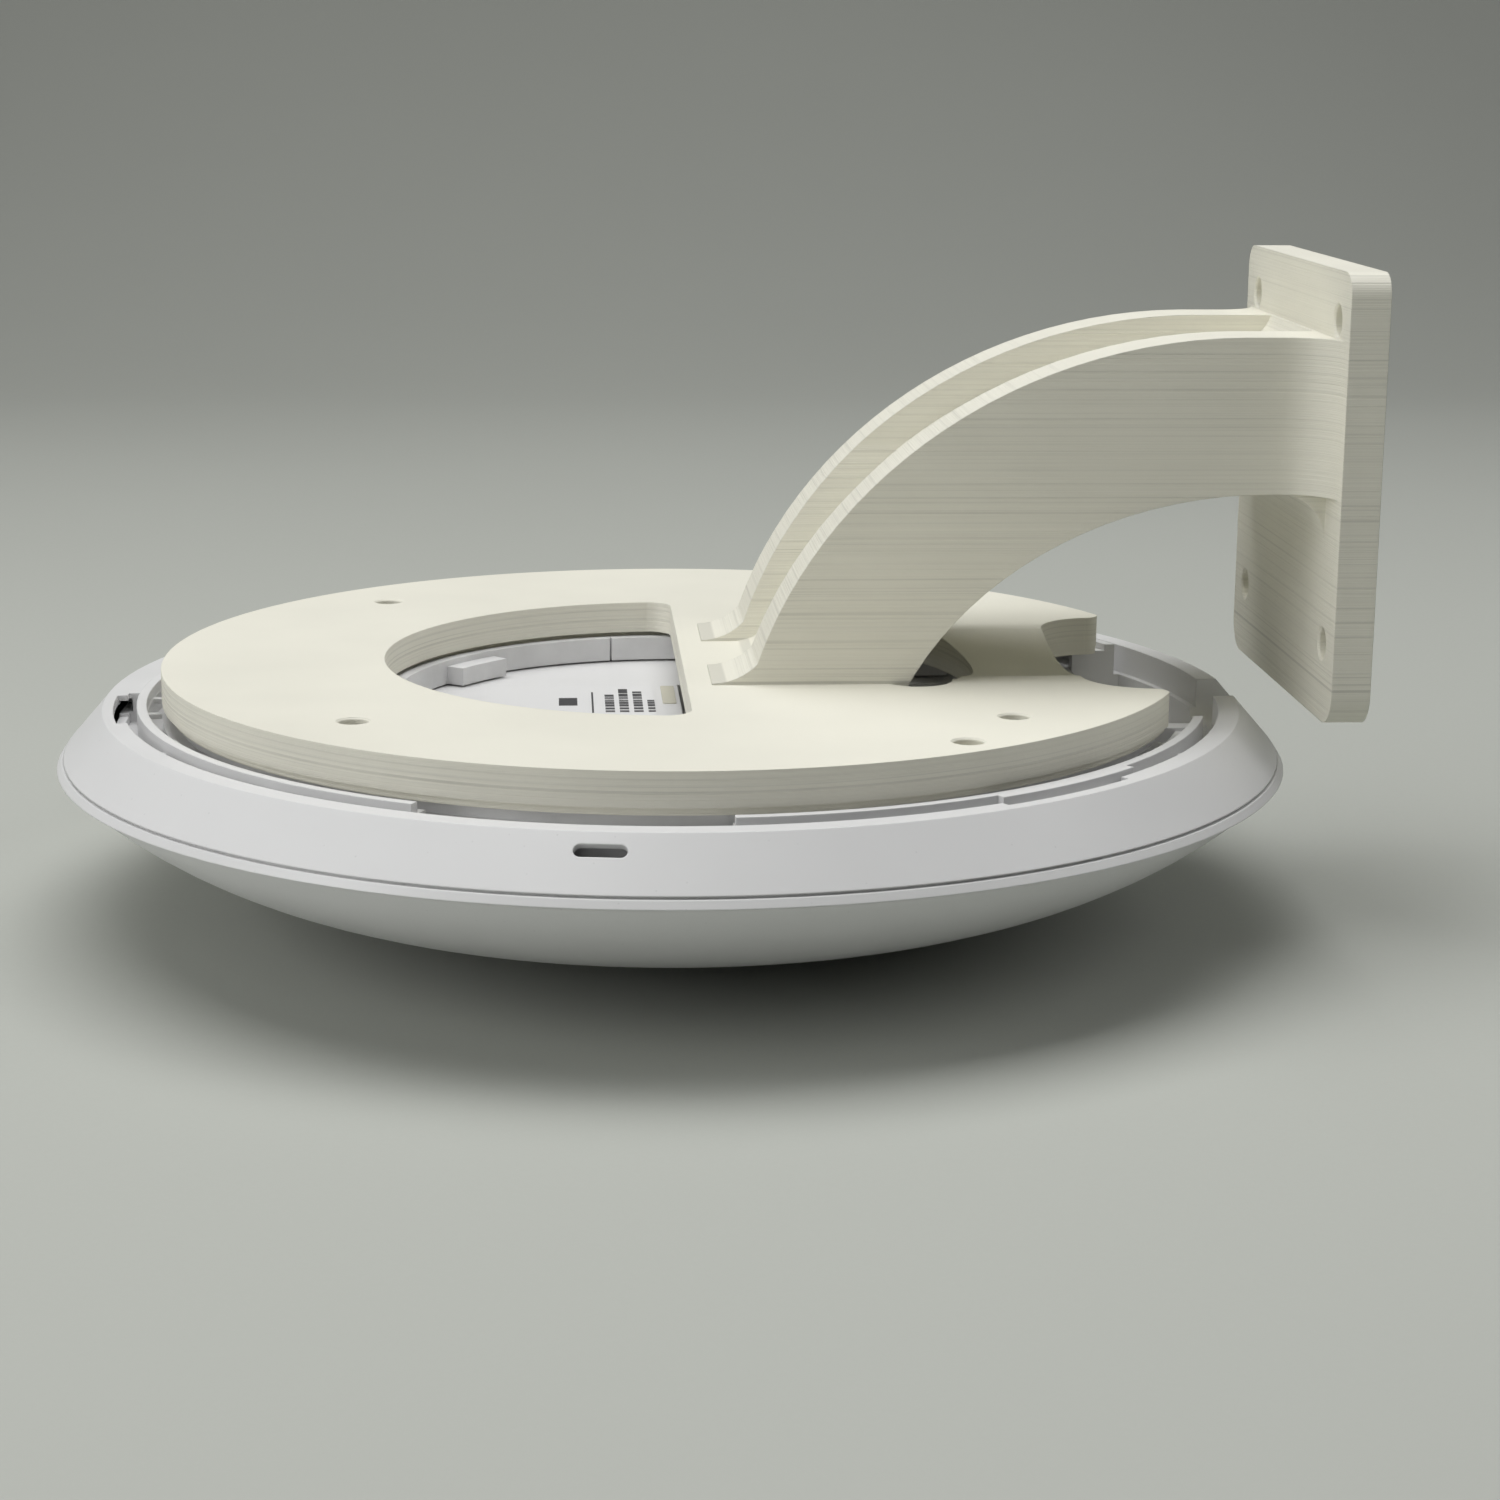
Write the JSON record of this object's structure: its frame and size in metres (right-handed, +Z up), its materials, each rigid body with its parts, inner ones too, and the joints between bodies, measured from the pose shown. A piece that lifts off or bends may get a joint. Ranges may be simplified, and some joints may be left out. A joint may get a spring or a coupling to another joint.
{
  "type": "ceiling access point",
  "caption": "Round wireless access point, dome down, twist-locked under the holed disc of a printed wall-arm bracket with a cable channel.",
  "frame": {"origin": "centre of the wall plate's four screw holes, on the plate's back face that meets the wall", "axes": "+X out of the back face into the wall, +Z up, Y across; the access point's axis is vertical at X -130.7 mm"},
  "size_m": [0.2522, 0.243, 0.1293],
  "materials": {
    "printed_plastic": "3-D printed, fine horizontal layers",
    "white_plastic": "satin moulded",
    "plate_plastic": "satin moulded",
    "zinc_steel": "zinc plated",
    "aluminium": "die cast",
    "tin_steel": "tin plated",
    "circuit_board": "solder mask",
    "chip_black": "moulded epoxy",
    "thermal_pad": "soft",
    "ferrite": "sintered",
    "capacitor_can": "bright",
    "jack_plastic": "moulded",
    "contact_gold": "gold plated",
    "button_plastic": "moulded",
    "led_lens": "diffusing",
    "clear_plastic": "polished",
    "antenna_metal": "stamped",
    "label_film": "printed film",
    "sticker_film": "plain film"
  },
  "bodies": {
    "wall_bracket": {"wall_arm_bracket": "printed_plastic", "mounting_plate": "plate_plastic", "mounting_plate_screws": "zinc_steel"},
    "access_point": {"base_housing": "white_plastic", "dome_cover": "white_plastic", "housing_screws": "zinc_steel", "heat_spreader": "aluminium", "spreader_screws": "zinc_steel", "thermal_pads": "thermal_pad", "main_board": "circuit_board", "board_screws": "zinc_steel", "processor": "chip_black", "memory_chips": "chip_black", "radio_shields": "tin_steel", "poe_transformer": "ferrite", "power_inductors": "ferrite", "capacitors": "capacitor_can", "lan_jack": "jack_plastic", "lan_jack_contacts": "contact_gold", "power_jack": "jack_plastic", "power_jack_pin": "contact_gold", "reset_switch": "jack_plastic", "status_led": "led_lens", "light_pipe": "clear_plastic", "antenna_plate": "aluminium", "antenna_plate_screws": "zinc_steel", "antennas_2g": "antenna_metal", "antennas_5g": "antenna_metal", "antenna_feeds": "antenna_metal", "id_label": "label_film", "service_sticker": "sticker_film"},
    "reset_button": {"reset_button": "button_plastic"}
  },
  "joints": [
    {"name": "twist_lock", "type": "hinge", "parent": "wall_bracket", "child": "access_point", "pos_m": [-0.1307, 0, -0.0552], "axis": [0, 0, 1], "range_deg": [0, 22]},
    {"name": "reset_press", "type": "slide", "parent": "access_point", "child": "reset_button", "axis": [-1, 0, 0], "range_m": [0, 0.0005], "stiffness_N_per_m": 1500, "springref_m": -0.0003}
  ]
}
